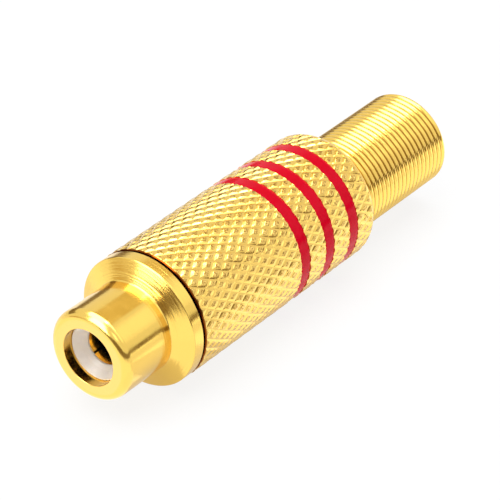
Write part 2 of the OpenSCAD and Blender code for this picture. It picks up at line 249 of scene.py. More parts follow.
# %% The moulded insulator
FACE_S, FACE_R, FACE_RIM = 1.0, 2.60, 0.12
SLOPE_S, SLOPE_R, THROAT_S, THROAT_R, THROAT_END = 1.66, 2.02, 2.02, 1.72, 2.17
TUBE_ROOM_R, CONTACT_SEAT_R, CONTACT_STEP, COLLAR_R = 2.08, 2.42, 9.3, 3.58
insulator = turn_outline("moulded_insulator", eased_outline([
    (FACE_S, FACE_R - FACE_RIM, 0.03), (FACE_S, FACE_R, 0.06), (COLLAR_FRONT, FACE_R, 0.0),
    (COLLAR_FRONT, COLLAR_R, 0.05), (WASHER_FRONT, COLLAR_R, 0.0),
    (WASHER_FRONT, CONTACT_SEAT_R, 0.0), (CONTACT_STEP, CONTACT_SEAT_R, 0.0),
    (CONTACT_STEP, TUBE_ROOM_R, 0.0), (THROAT_END, TUBE_ROOM_R, 0.0),
    (THROAT_END, THROAT_R, 0.0), (THROAT_S, THROAT_R, 0.1), (SLOPE_S, SLOPE_R, 0.3)]),
    columns=192)


# %% Welded copies of CAD pieces
WELD = 0.0005        # mm; loose corners that are closer than this become one


def welded_copy(node, name, sharp_deg=32.0):
    """Copy of a CAD node whose loose triangles are joined, with flat faces kept and round ones
    shaded smooth."""
    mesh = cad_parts[node].data.copy()
    mesh.name = name
    count = len(mesh.vertices)
    places = np.empty(count * 3)
    mesh.vertices.foreach_get("co", places)
    keys = np.round(places.reshape(-1, 3) / (MM * WELD)).astype(np.int64)
    _, first, joined = np.unique(keys, axis=0, return_index=True, return_inverse=True)
    corners = np.empty(len(mesh.loops), dtype=np.int64)
    mesh.loops.foreach_get("vertex_index", corners)
    faces = joined.ravel()[corners].reshape(-1, 3)
    edges = np.stack([faces[:, 0] == faces[:, 1], faces[:, 1] == faces[:, 2],
                      faces[:, 2] == faces[:, 0]])
    bpy.data.meshes.remove(mesh)
    return make_piece(name, places.reshape(-1, 3)[first], [faces[~edges.any(axis=0)]], sharp_deg)


contact = welded_copy("centre_contact", "split_contact")
tag = welded_copy("ground_tag", "ground_tag_sheet")

# %% [markdown]
# ## The knurled sleeve
# Two hardened wheels roll helical grooves into the sleeve, one leaning left and one leaning
# right, and leave a net of diamonds. The tips are pressed flat, so each diamond is a pyramid
# with its top cut off. In the photograph the grooves that lean one way look deep and the others
# faint. A texture or a bump map would show no true edge at the outline, so the diamonds are
# real: the radius is worked out at every point of a fine grid.

# %% The height of the knurl
TIP_R, STARTS, ROW_LEN, KNURL_DEPTH = 6.0, 38, 0.8, 0.09
FINE = 6             # points of the grid from a tip to the valley beside it
COLUMNS = 2 * STARTS * FINE
# Height from the groove (0) to the tip (1), at each sixth of the way: a straight flank, a crisp
# edge, and a top that is level, or hollow by up to two thousandths of a millimetre
DEEP_GROOVE = np.array([0.0, 0.36, 0.72, 1.0, 1.0, 0.99, 0.98])
FAINT_GROOVE = np.array([0.30, 0.48, 0.66, 0.84, 1.0, 1.0, 1.0])


def wave(x):
    """Zigzag of period 2: 1 at even numbers, 0 at odd numbers, straight in between."""
    return np.abs(1 - np.mod(x, 2))


def knurl_height(column, row):
    """Height of the net: the lower one of the two zigzags that lean left and right, each read
    through the table of its groove's section."""
    sixths = np.arange(FINE + 1)
    deep = np.interp(wave(column - row) * FINE, sixths, DEEP_GROOVE)
    faint = np.interp(wave(column + row) * FINE, sixths, FAINT_GROOVE)
    return np.minimum(deep, faint)


print("heights along one diamond:", np.round(knurl_height(np.arange(7) / 6, 0.0), 2).tolist())

# %% Rows of the sleeve, from its front edge over the bands' grooves to the rear shoulder
SLEEVE_FRONT, SLEEVE_BACK, SHOULDER_R, FRONT_BEVEL = 8.0, 32.1, 0.95, 0.14
BAND_W, BAND_STARTS, FLOOR_R = 1.27, (21.08, 24.54, 28.0), 5.62
BORE_R, HOLE_R, WALL_FRONT, BORE_LEAD, HOLE_EASE = 5.20, 4.85, 30.5, 0.20, 0.05

# The knurl's rows stand at whole steps, from just behind the bevel to just before the end,
# where closer rows follow the shoulder's arc
EDGE_ROOM = 0.35     # share of a step that stays free of them on both sides of a band's edge
row_step = ROW_LEN / FINE
knurl_rows = row_step * np.arange(np.ceil((SLEEVE_FRONT + FRONT_BEVEL) / row_step + 0.3),
                                  (SLEEVE_BACK - 0.3) / row_step)
bevel_rows = SLEEVE_FRONT + FRONT_BEVEL * np.array([0, 0.3, 0.65, 1.0])
shoulder_arc = np.radians(np.arange(48, 91, 7))
rows = np.concatenate([bevel_rows, knurl_rows,
                       SLEEVE_BACK - SHOULDER_R * (1 - np.sin(shoulder_arc))])
# Rows in a band's groove, or close to its edges, give way to the groove's own. Each edge has two
# rows at one place, the first or last on the knurl and the other on the groove's floor
edges = np.array([[b, b + BAND_W] for b in BAND_STARTS])
near_edge = (np.abs(rows[:, None] - edges.ravel()) < row_step * EDGE_ROOM).any(axis=1)
in_groove = ((rows[:, None] > edges[:, 0]) & (rows[:, None] < edges[:, 1])).any(axis=1)
rows = rows[~near_edge & ~in_groove]
groove_rows = np.repeat(edges.ravel(), 2)
groove_floor = np.tile([False, True, True, False], len(BAND_STARTS))
nudge = np.tile([-1e-6, 1e-6, -1e-6, 1e-6], len(BAND_STARTS))
order = np.argsort(np.concatenate([rows, groove_rows + nudge]), kind="stable")
on_floor = np.concatenate([np.zeros(len(rows), dtype=bool), groove_floor])[order]
rows = np.concatenate([rows, groove_rows])[order]
print("the sleeve has", len(rows), "rows and", COLUMNS, "columns")

# %% The radius at every point of the sleeve
# The shoulder is a quarter circle: its radius times one less the root of one less the square of
# the way into it comes off the tips. The bevel takes off as much as a row lies before its end.
# The knurl shows wherever it is lower than both
column = np.arange(COLUMNS)[None, :] / FINE
into = np.clip((rows - SLEEVE_BACK + SHOULDER_R) / SHOULDER_R, 0, 1)[:, None]
shoulder = TIP_R - SHOULDER_R * (1 - np.sqrt(1 - into ** 2))
shoulder -= np.clip(SLEEVE_FRONT + FRONT_BEVEL - rows, 0, FRONT_BEVEL)[:, None]
knurl = TIP_R - KNURL_DEPTH * (1 - knurl_height(column, rows[:, None] / ROW_LEN))
outer_r = np.where(on_floor[:, None], FLOOR_R, np.minimum(knurl, shoulder))
print("the knurl's radius runs from", round(float(knurl.min()), 3), "to", knurl.max(), "mm")

# %% The sleeve's mesh, with each quad cut along the edge of its diamond
bore = np.array([[SLEEVE_BACK, HOLE_R + HOLE_EASE], [SLEEVE_BACK - HOLE_EASE, HOLE_R],
                 [WALL_FRONT, HOLE_R], [WALL_FRONT, BORE_R], [WALL_FRONT - HOLD, BORE_R],
                 [SLEEVE_FRONT + BORE_LEAD + HOLD, BORE_R], [SLEEVE_FRONT + BORE_LEAD, BORE_R],
                 [SLEEVE_FRONT, BORE_R + BORE_LEAD]])
sleeve_s = np.concatenate([rows, bore[:, 0]])[:, None]
sleeve_r = np.vstack([outer_r, np.repeat(bore[:, 1:], COLUMNS, axis=1)])
sleeve_turn = np.pi / 2 + column * np.pi / STARTS    # the first column is under the axis
sleeve_quads = ring_quads(len(sleeve_s), COLUMNS)
mid_row = (sleeve_s + np.roll(sleeve_s, -1, axis=0)) / 2 / ROW_LEN
lean_left = wave(column + 0.5 / FINE + mid_row) < wave(column + 0.5 / FINE - mid_row)
halves = np.where(lean_left.ravel()[:, None], sleeve_quads[:, [0, 1, 3, 1, 2, 3]],
                  sleeve_quads[:, [0, 1, 2, 0, 2, 3]])
sleeve = make_piece("knurled_sleeve", lay_down(sleeve_s, sleeve_r, sleeve_turn),
                    [halves.reshape(-1, 3)], sharp_deg=12.0)

# %% [markdown]
# ## Three red enamel bands
# Each band is enamel that was filled into a turned groove and fired, so its face is level with
# rounded edges, and it runs a little way into the knurl's valleys on both sides, which gives it
# a finely scalloped edge. Cutting scallops into a ring would be fiddly. Letting the ring reach a
# few hundredths of a millimetre into the knurl, above its valleys, gives them by itself.

# %% The enamel bands
ENAMEL_R, ENAMEL_EDGE_R, ENAMEL_REACH, ENAMEL_ROWS = 5.94, 5.87, 0.05, 33
ENAMEL_COLUMNS, FLOOR_OVERLAP = 228, 0.02


def enamel_band(name, start):
    """Ring whose outer face falls from the middle to the edges with the eighth power of the
    distance from the middle, and whose inner face lies in the groove."""
    across = np.sin(np.linspace(-np.pi / 2, np.pi / 2, ENAMEL_ROWS))
    s = start + BAND_W / 2 + across * (BAND_W / 2 + ENAMEL_REACH)
    r = ENAMEL_R - (ENAMEL_R - ENAMEL_EDGE_R) * across ** 8
    outline = np.vstack([np.stack([s, r], axis=1),
                         [[s[-1], FLOOR_R - FLOOR_OVERLAP], [s[0], FLOOR_R - FLOOR_OVERLAP]]])
    return turn_outline(name, outline, ENAMEL_COLUMNS)


bands = [enamel_band(f"enamel_{place}", start)
         for place, start in zip(("front", "middle", "rear"), BAND_STARTS)]

# %% [markdown]
# ## The spring guard
# A guard like this is one drawn wire, wound so that its turns nearly touch. A few wide turns
# stay behind the sleeve's rear wall and hold it there. A Screw modifier gives only a plain
# helix, so the wire's section is carried along the path instead: the path eases from the wide
# turns to the narrow ones and sinks by 0.3 mm, because the loose spring lies on the hole's edge.

# %% The wire and its path
WIRE_R, TURN_PITCH, SPRING_FRONT = 0.29, 0.60, 28.03
WIDE_R, NARROW_BY, WIDE_TURNS, SAG = 5.10, 0.625, 2.3, 0.30
TURN_COUNT = (LENGTH - SPRING_FRONT - 2 * WIRE_R) / TURN_PITCH
WIRE_STEPS, WIRE_SIDES = 66, 16      # rings to a turn of the coil, and corners to a ring


def smooth_step(x):
    """Cubic from 0 to 1 that starts and ends level."""
    x = np.clip(x, 0, 1)
    return x * x * (3 - 2 * x)


steps = int(np.ceil(TURN_COUNT * WIRE_STEPS))
t = np.linspace(0, TURN_COUNT, steps + 1)
# The last rings at both ends shrink on a quarter circle, which rounds the cut wire
cap = np.radians([0, 25, 50, 70, 85])
end_scale = np.cos(cap)
extra = len(cap) - 1
t = np.concatenate([np.full(extra, t[0]), t, np.full(extra, t[-1])])
scale = np.concatenate([end_scale[:0:-1], np.ones(steps + 1), end_scale[1:]])[:, None]
nose = np.concatenate([-np.sin(cap[:0:-1]), np.zeros(steps + 1), np.sin(cap[1:])]) * WIRE_R
# The section is a circle in the plane through the axis: its cosine adds to the coil's radius and
# its sine to the way along, which goes on by one pitch a turn
a = -turns(WIRE_SIDES)[None, :]
narrowed = smooth_step(t - WIDE_TURNS)[:, None]
coil_r = WIDE_R - NARROW_BY * narrowed - WIRE_R + WIRE_R * scale * np.cos(a)
turned = (2 * np.pi * t + nose / (WIDE_R - WIRE_R))[:, None]
wire_s = SPRING_FRONT + WIRE_R + TURN_PITCH * t[:, None] + WIRE_R * scale * np.sin(a)
wire_points = lay_down(wire_s, coil_r, turned)
wire_points[..., 2] -= SAG * narrowed * MM
print("the coil has", round(TURN_COUNT, 1), "turns and", len(t), "rings")

# %% The spring's mesh
wire_rows = len(t)
wire_quads = ring_quads(wire_rows, WIRE_SIDES, close_rows=False)
ends = wire_points[[0, -1]].mean(axis=1)
ring = np.arange(WIRE_SIDES)
beside = (ring + 1) % WIRE_SIDES
front_fan = np.stack([np.full(WIRE_SIDES, wire_rows * WIRE_SIDES), beside, ring], axis=1)
last_ring = (wire_rows - 1) * WIRE_SIDES
rear_fan = np.stack([np.full(WIRE_SIDES, wire_rows * WIRE_SIDES + 1), last_ring + ring,
                     last_ring + beside], axis=1)
wire_row, wire_side = wire_quads // WIRE_SIDES, wire_quads % WIRE_SIDES
wire_side = np.where(wire_side < wire_side[:, :1], wire_side + WIRE_SIDES, wire_side)
wire_uv = np.stack([t[wire_row] * 2 * np.pi * (WIDE_R - NARROW_BY),
                    wire_side * 2 * np.pi * WIRE_R / WIRE_SIDES], axis=-1)
fan_uv = np.zeros((WIRE_SIDES, 3, 2))
spring = make_piece("spring_guard", np.vstack([wire_points.reshape(-1, 3), ends]),
                    [wire_quads, front_fan, rear_fan], uv_sets=[wire_uv, fan_uv, fan_uv])

# %% [markdown]
# ## The liner
# A thin clear tube keeps the ground tag from the sleeve. It is hidden until the sleeve comes
# off, so a plain turned outline with eased edges is all that it needs.

# %% The clear liner
LINER_R, LINER_WALL, LINER_FRONT, LINER_BACK = 5.10, 0.35, 13.88, 27.93
liner = turn_outline("clear_liner", eased_outline([
    (LINER_FRONT, LINER_R, 0.06), (LINER_BACK, LINER_R, 0.06),
    (LINER_BACK, LINER_R - LINER_WALL, 0.06), (LINER_FRONT, LINER_R - LINER_WALL, 0.06)]),
    columns=144)

# %% [markdown]
# ## Which body each piece rides on
# The socket itself, the sleeve and the spring guard move on their own, so each piece rides on
# one of the three, and stands for the CAD node whose place it takes.

# %% Ride on a body and stand in for the CAD node
for piece, node, body_name, finish in [
        (body, "socket_body", "socket", "gold_plate"),
        (insulator, "insulator", "socket", "insulator"),
        (contact, "centre_contact", "socket", "gold_contact"),
        (tag, "ground_tag", "socket", "gold_plate"),
        (sleeve, "sleeve", "sleeve", "gold_plate"),
        (bands[0], "band_front", "sleeve", "red_enamel"),
        (bands[1], "band_middle", "sleeve", "red_enamel"),
        (bands[2], "band_rear", "sleeve", "red_enamel"),
        (spring, "spring", "spring guard", "gold_wire"),
        (liner, "liner", "spring guard", "liner")]:
    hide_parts(node)
    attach(piece, body_name)
    print(piece.name, "takes the place of", node, "and rides on", body_name)

# %% [markdown]
# ## Finishes from nodes
# Every finish is procedural: noise and lines at real sizes drive the roughness and a very
# shallow bump. Photographs of metal could be pasted on, but they would carry their own light.
# One helper adds a node with its settings and its links, and colours are written as they look
# on a screen and turned to the linear values that the renderer works with. Several marks start
# at a known distance behind the shell's face, so one more helper measures that.

# %% Helpers for materials
def linear(colour):
    """Linear RGBA of an sRGB hex colour: a 12.92th of small values, and the 2.4th power of
    (value + 0.055) / 1.055 of the others."""
    srgb = np.array([int(colour[k:k + 2], 16) for k in (1, 3, 5)]) / 255
    light = np.where(srgb <= 0.04045, srgb / 12.92, ((srgb + 0.055) / 1.055) ** 2.4)
    return (*light.tolist(), 1.0)


def add_node(tree, kind, inputs=None, **options):
    """Adds a node, sets its options, and sets or links the inputs by name or number."""
    made = tree.nodes.new(kind)
    for option, value in options.items():
        setattr(made, option, value)
    for place, value in (inputs or {}).items():
        if isinstance(value, bpy.types.NodeSocket):
            tree.links.new(value, made.inputs[place])
        else:
            made.inputs[place].default_value = value
    return made


def new_material(name, *pieces):
    """Material with an empty tree and its output, on these pieces."""
    material = bpy.data.materials.new(name)
    material.use_nodes = True
    material.node_tree.nodes.clear()
    for piece in pieces:
        piece.data.materials.clear()
        piece.data.materials.append(material)
    print("material:", name, "on", ", ".join(piece.name for piece in pieces))
    return material.node_tree, add_node(material.node_tree, "ShaderNodeOutputMaterial")


def behind_face(tree, start, end, low=0.0):
    """Value that rises evenly from low to 1 between two distances behind the shell's face, in
    mm. The distance is the object's Y coordinate plus half the length."""
    where = add_node(tree, "ShaderNodeTexCoord")
    place = add_node(tree, "ShaderNodeSeparateXYZ", {"Vector": where.outputs["Object"]})
    share = add_node(tree, "ShaderNodeMapRange",
                     {"Value": place.outputs["Y"], "From Min": (start - LENGTH / 2) * MM,
                      "From Max": (end - LENGTH / 2) * MM, "To Min": low})
    return share.outputs["Result"]


print("a screen's middle grey is", round(linear("#808080")[0], 3), "in linear light")

# %% [markdown]
# ### Polished gold plate
# Usually hard gold, a few tenths of a micrometre over nickel on turned brass: to the eye a warm
# mirror that still shows the rings of the lathe under the plate. The lines follow the outline,
# so they read the surface map's first coordinate. The photograph shows them stronger on the
# flange, as a coarser feed would leave them. Faint clouds of handling make the gold a bit duller
# in places, and tiny pits catch the light. A smooth metal with no marks would look like plastic.

# %% Gold plate on turned brass
GOLD = linear("#F1CA65")
LATHE_LINES = 6.0    # lines to a millimetre; real feed marks are finer and wouldn't show
TURNED_LINES = 1.6e-5   # height in metres after the lathe, more than real, to show in the render
SHELL_FEED = 0.3     # height of the shell's lines, as a share of the flange's
CLOUD = 900.0        # clouds to a metre: patches a little over 1 mm across
PITS = 4200.0        # cells to a metre: a pit every quarter of a millimetre; real ones are finer


def gold_finish(name, piece, roughness, dullness=0.10, lines=0.0, pits=4e-6):
    """Gold plate whose clouds raise the roughness by up to the dullness, with lines of that
    height and pits of that depth, both in metres."""
    tree, output = new_material(name, piece)
    where = add_node(tree, "ShaderNodeTexCoord")
    clouds = add_node(tree, "ShaderNodeTexNoise",
                      {"Vector": where.outputs["Object"], "Scale": CLOUD, "Detail": 4.0})
    duller = add_node(tree, "ShaderNodeMapRange",
                      {"Value": clouds.outputs["Fac"], "From Min": 0.35, "From Max": 0.75,
                       "To Min": roughness, "To Max": roughness + dullness})
    grain = add_node(tree, "ShaderNodeTexVoronoi",
                     {"Vector": where.outputs["Object"], "Scale": PITS})
    pit = add_node(tree, "ShaderNodeMapRange",
                   {"Value": grain.outputs["Distance"], "From Min": 0.04, "From Max": 0.16})
    bump = add_node(tree, "ShaderNodeBump",
                    {"Height": pit.outputs["Result"], "Distance": pits})
    if lines:
        surface = add_node(tree, "ShaderNodeUVMap", uv_map="surface_mm")
        along = add_node(tree, "ShaderNodeSeparateXYZ", {"Vector": surface.outputs["UV"]})
        rings = add_node(tree, "ShaderNodeTexNoise",
                         {"W": along.outputs["X"], "Scale": LATHE_LINES, "Detail": 3.0},
                         noise_dimensions="1D")
        feed = behind_face(tree, SHELL_END, SHELL_END + 0.2, low=SHELL_FEED)
        bump = add_node(tree, "ShaderNodeBump",
                        {"Strength": feed, "Height": rings.outputs["Fac"], "Distance": lines,
                         "Normal": bump.outputs["Normal"]})
    shader = add_node(tree, "ShaderNodeBsdfPrincipled",
                      {"Base Color": GOLD, "Metallic": 1.0,
                       "Roughness": duller.outputs["Result"], "Normal": bump.outputs["Normal"]})
    tree.links.new(shader.outputs["BSDF"], output.inputs["Surface"])
    return tree, shader


gold_finish("polished_gold_plate", body, roughness=0.12, dullness=0.08, lines=TURNED_LINES,
            pits=2e-6)

# %% [markdown]
# ### Gold plate on the knurl
# Knurling wheels burnish the flanks of the grooves and leave the pressed tops rougher. To the
# eye the flanks flash and the tops look grainy. A mask could be painted for the tops, but the
# distance from the axis tells a top from a flank by itself. Two tones are painted light. Two
# tones are painted to match the photograph. The dents are painted darker gold, as painted
# shade in them, in place of grain too fine to draw. The front edge is painted red-brown, as a
# painted reflection of gold that mirrors gold many times over in the narrow gap behind the
# flange, since the gap itself renders nearly black. That is most likely gold that mirrors gold
# many times over, but the gap itself renders nearly black.

# %% Flanks, dented tops with painted shade, and the front edge's painted reflection
CRUMBS = 6000.0      # dents to a metre, about 0.17 mm across; real ones are finer
DENT_HEIGHT = 2.5e-5    # metres, deeper than real dents, so that they show
TOP_FROM, TOP_TO = TIP_R - 0.020, TIP_R - 0.006    # where a flank turns into a top
FLANK_GOLD, DENT_SHADE_GOLD, TOP_GOLD = linear("#F0C968"), linear("#AC843C"), linear("#EDC971")

tree, output = new_material("knurled_gold_plate", sleeve)
where = add_node(tree, "ShaderNodeTexCoord")
# Distance from the axis: the length of the place less its Y part and the axis height
from_axis = add_node(tree, "ShaderNodeVectorMath",
                     {0: where.outputs["Object"], 1: (0.0, 0.0, -AXIS_Z * MM)}, operation="ADD")
across = add_node(tree, "ShaderNodeVectorMath",
                  {0: from_axis.outputs[0], 1: (1.0, 0.0, 1.0)}, operation="MULTIPLY")
radius = add_node(tree, "ShaderNodeVectorMath", {0: across.outputs[0]}, operation="LENGTH")
top = add_node(tree, "ShaderNodeMapRange",
               {"Value": radius.outputs["Value"], "From Min": TOP_FROM * MM,
                "From Max": TOP_TO * MM})
crumbs = add_node(tree, "ShaderNodeTexNoise",
                  {"Vector": where.outputs["Object"], "Scale": CRUMBS, "Detail": 3.0})
dent = add_node(tree, "ShaderNodeMapRange",
                {"Value": crumbs.outputs["Fac"], "From Min": 0.38, "From Max": 0.62})
# Painted shade: the dents on the tops are painted darker gold
shaded_dents = add_node(tree, "ShaderNodeMix",
                {"Factor": dent.outputs["Result"], "A": DENT_SHADE_GOLD, "B": TOP_GOLD},
                data_type="RGBA")
tone = add_node(tree, "ShaderNodeMix",
                {"Factor": top.outputs["Result"], "A": FLANK_GOLD, "B": shaded_dents.outputs["Result"]},
                data_type="RGBA")
bevel_end = SLEEVE_FRONT + FRONT_BEVEL
# Painted reflection: the front edge is painted red-brown, for gold mirroring gold in the gap
painted = add_node(tree, "ShaderNodeMix",
                   {"Factor": behind_face(tree, bevel_end - FRONT_BEVEL / 2, bevel_end),
                    "A": linear("#7C3A0C"), "B": tone.outputs["Result"]}, data_type="RGBA")
rough = add_node(tree, "ShaderNodeMapRange",
                 {"Value": top.outputs["Result"], "To Min": 0.15, "To Max": 0.22})
press = add_node(tree, "ShaderNodeMath", {0: crumbs.outputs["Fac"], 1: top.outputs["Result"]},
                 operation="MULTIPLY")
bump = add_node(tree, "ShaderNodeBump", {"Height": press.outputs[0], "Distance": DENT_HEIGHT})
shader = add_node(tree, "ShaderNodeBsdfPrincipled",
                  {"Base Color": painted.outputs["Result"], "Metallic": 1.0,
                   "Roughness": rough.outputs["Result"], "Normal": bump.outputs["Normal"]})
tree.links.new(shader.outputs["BSDF"], output.inputs["Surface"])

# %% [markdown]
# ### Gold plate on sheet, contact and wire
# The tag isn't seen, and is taken to be sheet plated in a barrel, which comes out dull. The wire
# is drawn through a die, which leaves it bright. Two tones here are painted shade. Two tones are
# painted here to match the photograph, and their cause is a guess. Behind its edge the contact's
# gold turns dark brown, as painted shade in its bore. The wire is painted browner where the
# turns almost touch, as painted shade between the turns. The surface map's second coordinate
# goes round the wire, and its cosine is 1 on the outside.

# %% Sheet and contact
# Painted shade in the contact's bore sets in and is full at these distances
BORE_SHADE_STARTS, BORE_SHADE_FULL = 2.55, 3.10     # distances behind the shell's face
gold_finish("gold_plated_sheet", tag, roughness=0.25)
tree, shader = gold_finish("gold_plated_contact", contact, roughness=0.22, pits=3e-6)
# Painted shade: behind its edge the contact's gold turns dark brown
tone = add_node(tree, "ShaderNodeMix",
                {"Factor": behind_face(tree, BORE_SHADE_STARTS, BORE_SHADE_FULL), "A": GOLD,
                 "B": linear("#2A1A0C")}, data_type="RGBA")
tree.links.new(tone.outputs["Result"], shader.inputs["Base Color"])

# %% Drawn wire, with painted shade between the turns
DRAWN_LINES = 2.5e-7    # height in metres of the marks that the die leaves
tree, shader = gold_finish("drawn_gold_wire", spring, roughness=0.12, dullness=0.08,
                           lines=DRAWN_LINES, pits=3e-6)
surface = add_node(tree, "ShaderNodeUVMap", uv_map="surface_mm")
round_wire = add_node(tree, "ShaderNodeSeparateXYZ", {"Vector": surface.outputs["UV"]})
angle = add_node(tree, "ShaderNodeMath", {0: round_wire.outputs["Y"], 1: 1 / WIRE_R},
                 operation="MULTIPLY")
outwards = add_node(tree, "ShaderNodeMath", {0: angle.outputs[0]}, operation="COSINE")
# Painted shade: the wire turns browner where the turns almost touch
shade_between_turns = add_node(tree, "ShaderNodeMapRange",
                   {"Value": outwards.outputs[0], "From Min": 0.75, "From Max": 0.30,
                    "To Max": 0.65})
tone = add_node(tree, "ShaderNodeMix",
                {"Factor": shade_between_turns.outputs["Result"], "A": GOLD, "B": linear("#7A5218")},
                data_type="RGBA")
tree.links.new(tone.outputs["Result"], shader.inputs["Base Color"])

# %% [markdown]
# ### Vitreous enamel
# Fired enamel is coloured glass. To the eye it is a deep, even red with a slightly wavy face.
# A car paint shader with a clear coat could stand for it, but one smooth dielectric with a
# little swirl in its colour and its height is closer to a thin fill of glass. The shader mirrors
# as much as real glass at a specular level of 0.5. It is 0.06 here, because the white world and
# the bright cards pale the red at 0.5, so under other light the bands lack real enamel's gloss.

# %% Red enamel
SWIRL = 1100.0       # swirls to a metre: about 0.9 mm across
SWIRL_HEIGHT = 1.5e-5   # metres
tree, output = new_material("vitreous_red_enamel", *bands)
where = add_node(tree, "ShaderNodeTexCoord")
swirl = add_node(tree, "ShaderNodeTexNoise",
                 {"Vector": where.outputs["Object"], "Scale": SWIRL, "Detail": 2.0})
depth = add_node(tree, "ShaderNodeMix",
                 {"Factor": swirl.outputs["Fac"], "A": linear("#C8001C"), "B": linear("#D80026")},
                 data_type="RGBA")
bump = add_node(tree, "ShaderNodeBump",
                {"Height": swirl.outputs["Fac"], "Distance": SWIRL_HEIGHT})
shader = add_node(tree, "ShaderNodeBsdfPrincipled",
                  {"Base Color": depth.outputs["Result"], "Roughness": 0.12, "IOR": 1.52,
                   "Specular IOR Level": 0.06, "Normal": bump.outputs["Normal"]})
tree.links.new(shader.outputs["BSDF"], output.inputs["Surface"])

# %% [markdown]
# ### Moulded acetal
# Acetal is a milky, warm white plastic that lets a little light in before it comes back out, so
# its edges look soft. The mould leaves faint flow marks. Plain white would look like chalk. The
# photograph is dark behind the throat, where the render came out bright, so the bore is painted
# dark brown. That stands in for shade and is no stain that the photograph shows.

# %% White acetal
FLOW = 700.0         # flow marks to a metre: about 1.4 mm across
FLOW_HEIGHT = 4e-6   # metres
SHADE_REACH = 0.1    # distance over which the dark paint sets in, behind the throat
tree, output = new_material("moulded_white_acetal", insulator)
where = add_node(tree, "ShaderNodeTexCoord")
flow = add_node(tree, "ShaderNodeTexNoise",
                {"Vector": where.outputs["Object"], "Scale": FLOW, "Detail": 3.0})
tone = add_node(tree, "ShaderNodeMix",
                {"Factor": flow.outputs["Fac"], "A": linear("#E6E0DA"), "B": linear("#F0EBE6")},
                data_type="RGBA")
painted = add_node(tree, "ShaderNodeMix",
                   {"Factor": behind_face(tree, THROAT_END, THROAT_END + SHADE_REACH),
                    "A": tone.outputs["Result"], "B": linear("#1E1409")}, data_type="RGBA")
bump = add_node(tree, "ShaderNodeBump",
                {"Height": flow.outputs["Fac"], "Distance": FLOW_HEIGHT})
shader = add_node(tree, "ShaderNodeBsdfPrincipled",
                  {"Base Color": painted.outputs["Result"], "Roughness": 0.38, "IOR": 1.48,
                   "Subsurface Weight": 0.15, "Subsurface Scale": 0.0006,
                   "Subsurface Radius": (1.0, 0.7, 0.5), "Normal": bump.outputs["Normal"]})
tree.links.new(shader.outputs["BSDF"], output.inputs["Surface"])

# %% [markdown]
# ### Clear nylon
# The liner isn't seen, and is taken to be cut from drawn nylon tube. To the eye that is clear
# with a faint grey tint and soft highlights, because the die leaves it slightly uneven. A mix
# with a transparent shader would not bend light at the wall, so transmission does it instead.

# %% Clear nylon
DRAW_MARKS = 500.0   # marks to a metre: 2 mm across
MARK_HEIGHT = 4e-6   # metres
tree, output = new_material("clear_nylon", liner)
where = add_node(tree, "ShaderNodeTexCoord")
draw = add_node(tree, "ShaderNodeTexNoise",
                {"Vector": where.outputs["Object"], "Scale": DRAW_MARKS, "Detail": 2.0})
bump = add_node(tree, "ShaderNodeBump",
                {"Height": draw.outputs["Fac"], "Distance": MARK_HEIGHT})
shader = add_node(tree, "ShaderNodeBsdfPrincipled",
                  {"Base Color": linear("#D6DADA"), "Roughness": 0.22, "IOR": 1.53,
                   "Transmission Weight": 0.75, "Normal": bump.outputs["Normal"]})
tree.links.new(shader.outputs["BSDF"], output.inputs["Surface"])

# %% [markdown]
# ## The studio
# The photograph has a white ground and soft light from above. One broad lamp lights the enamel,
# the plastic and the floor. More light would turn the floor white too, but it would wash out the
# red. So the world and the ground are white only to the camera, to mirrors and through glass, by
# Light Path, and a share of real shading keeps the object's shadow on the floor.

# %% World and what counts as seen
scene = bpy.context.scene
scene.view_settings.view_transform = "Standard"


def seen_rays(tree):
    """Light Path node, and a value that is 1 for rays from the camera, off a mirror or through
    glass, and 0 for those that only light something: the largest of the three."""
    path = add_node(tree, "ShaderNodeLightPath")
    mirror = add_node(tree, "ShaderNodeMath",
                      {0: path.outputs["Is Camera Ray"], 1: path.outputs["Is Glossy Ray"]},
                      operation="MAXIMUM")
    seen = add_node(tree, "ShaderNodeMath",
                    {0: mirror.outputs[0], 1: path.outputs["Is Transmission Ray"]},
                    operation="MAXIMUM")
    return path, seen.outputs[0]


world = bpy.data.worlds.new("studio")
scene.world = world
world.use_nodes = True
tree = world.node_tree
tree.nodes.clear()
path, seen = seen_rays(tree)
# The world looks white, and lights the object as a light grey room would
tone = add_node(tree, "ShaderNodeMix",
                {"Factor": seen, "A": linear("#BFBFC4"), "B": linear("#FFFFFF")},
                data_type="RGBA")
sky = add_node(tree, "ShaderNodeBackground", {"Color": tone.outputs["Result"], "Strength": 1.0})
add_node(tree, "ShaderNodeOutputWorld", {"Surface": sky.outputs[0]})
print("world:", world.name)


# %% The white ground
def stage_plane(name, centre, across, along):
    """Flat stage object round a centre, spanned by two half-sides, all in mm."""
    centre, across, along = (np.array(v, dtype=float) for v in (centre, across, along))
    corners = [centre + i * across + j * along for i, j in ((-1, -1), (1, -1), (1, 1), (-1, 1))]
    mesh = bpy.data.meshes.new(name)
    mesh.from_pydata((np.array(corners) * MM).tolist(), [], [(0, 1, 2, 3)])
    made = bpy.data.objects.new(name, mesh)
    scene.collection.objects.link(made)
    return made


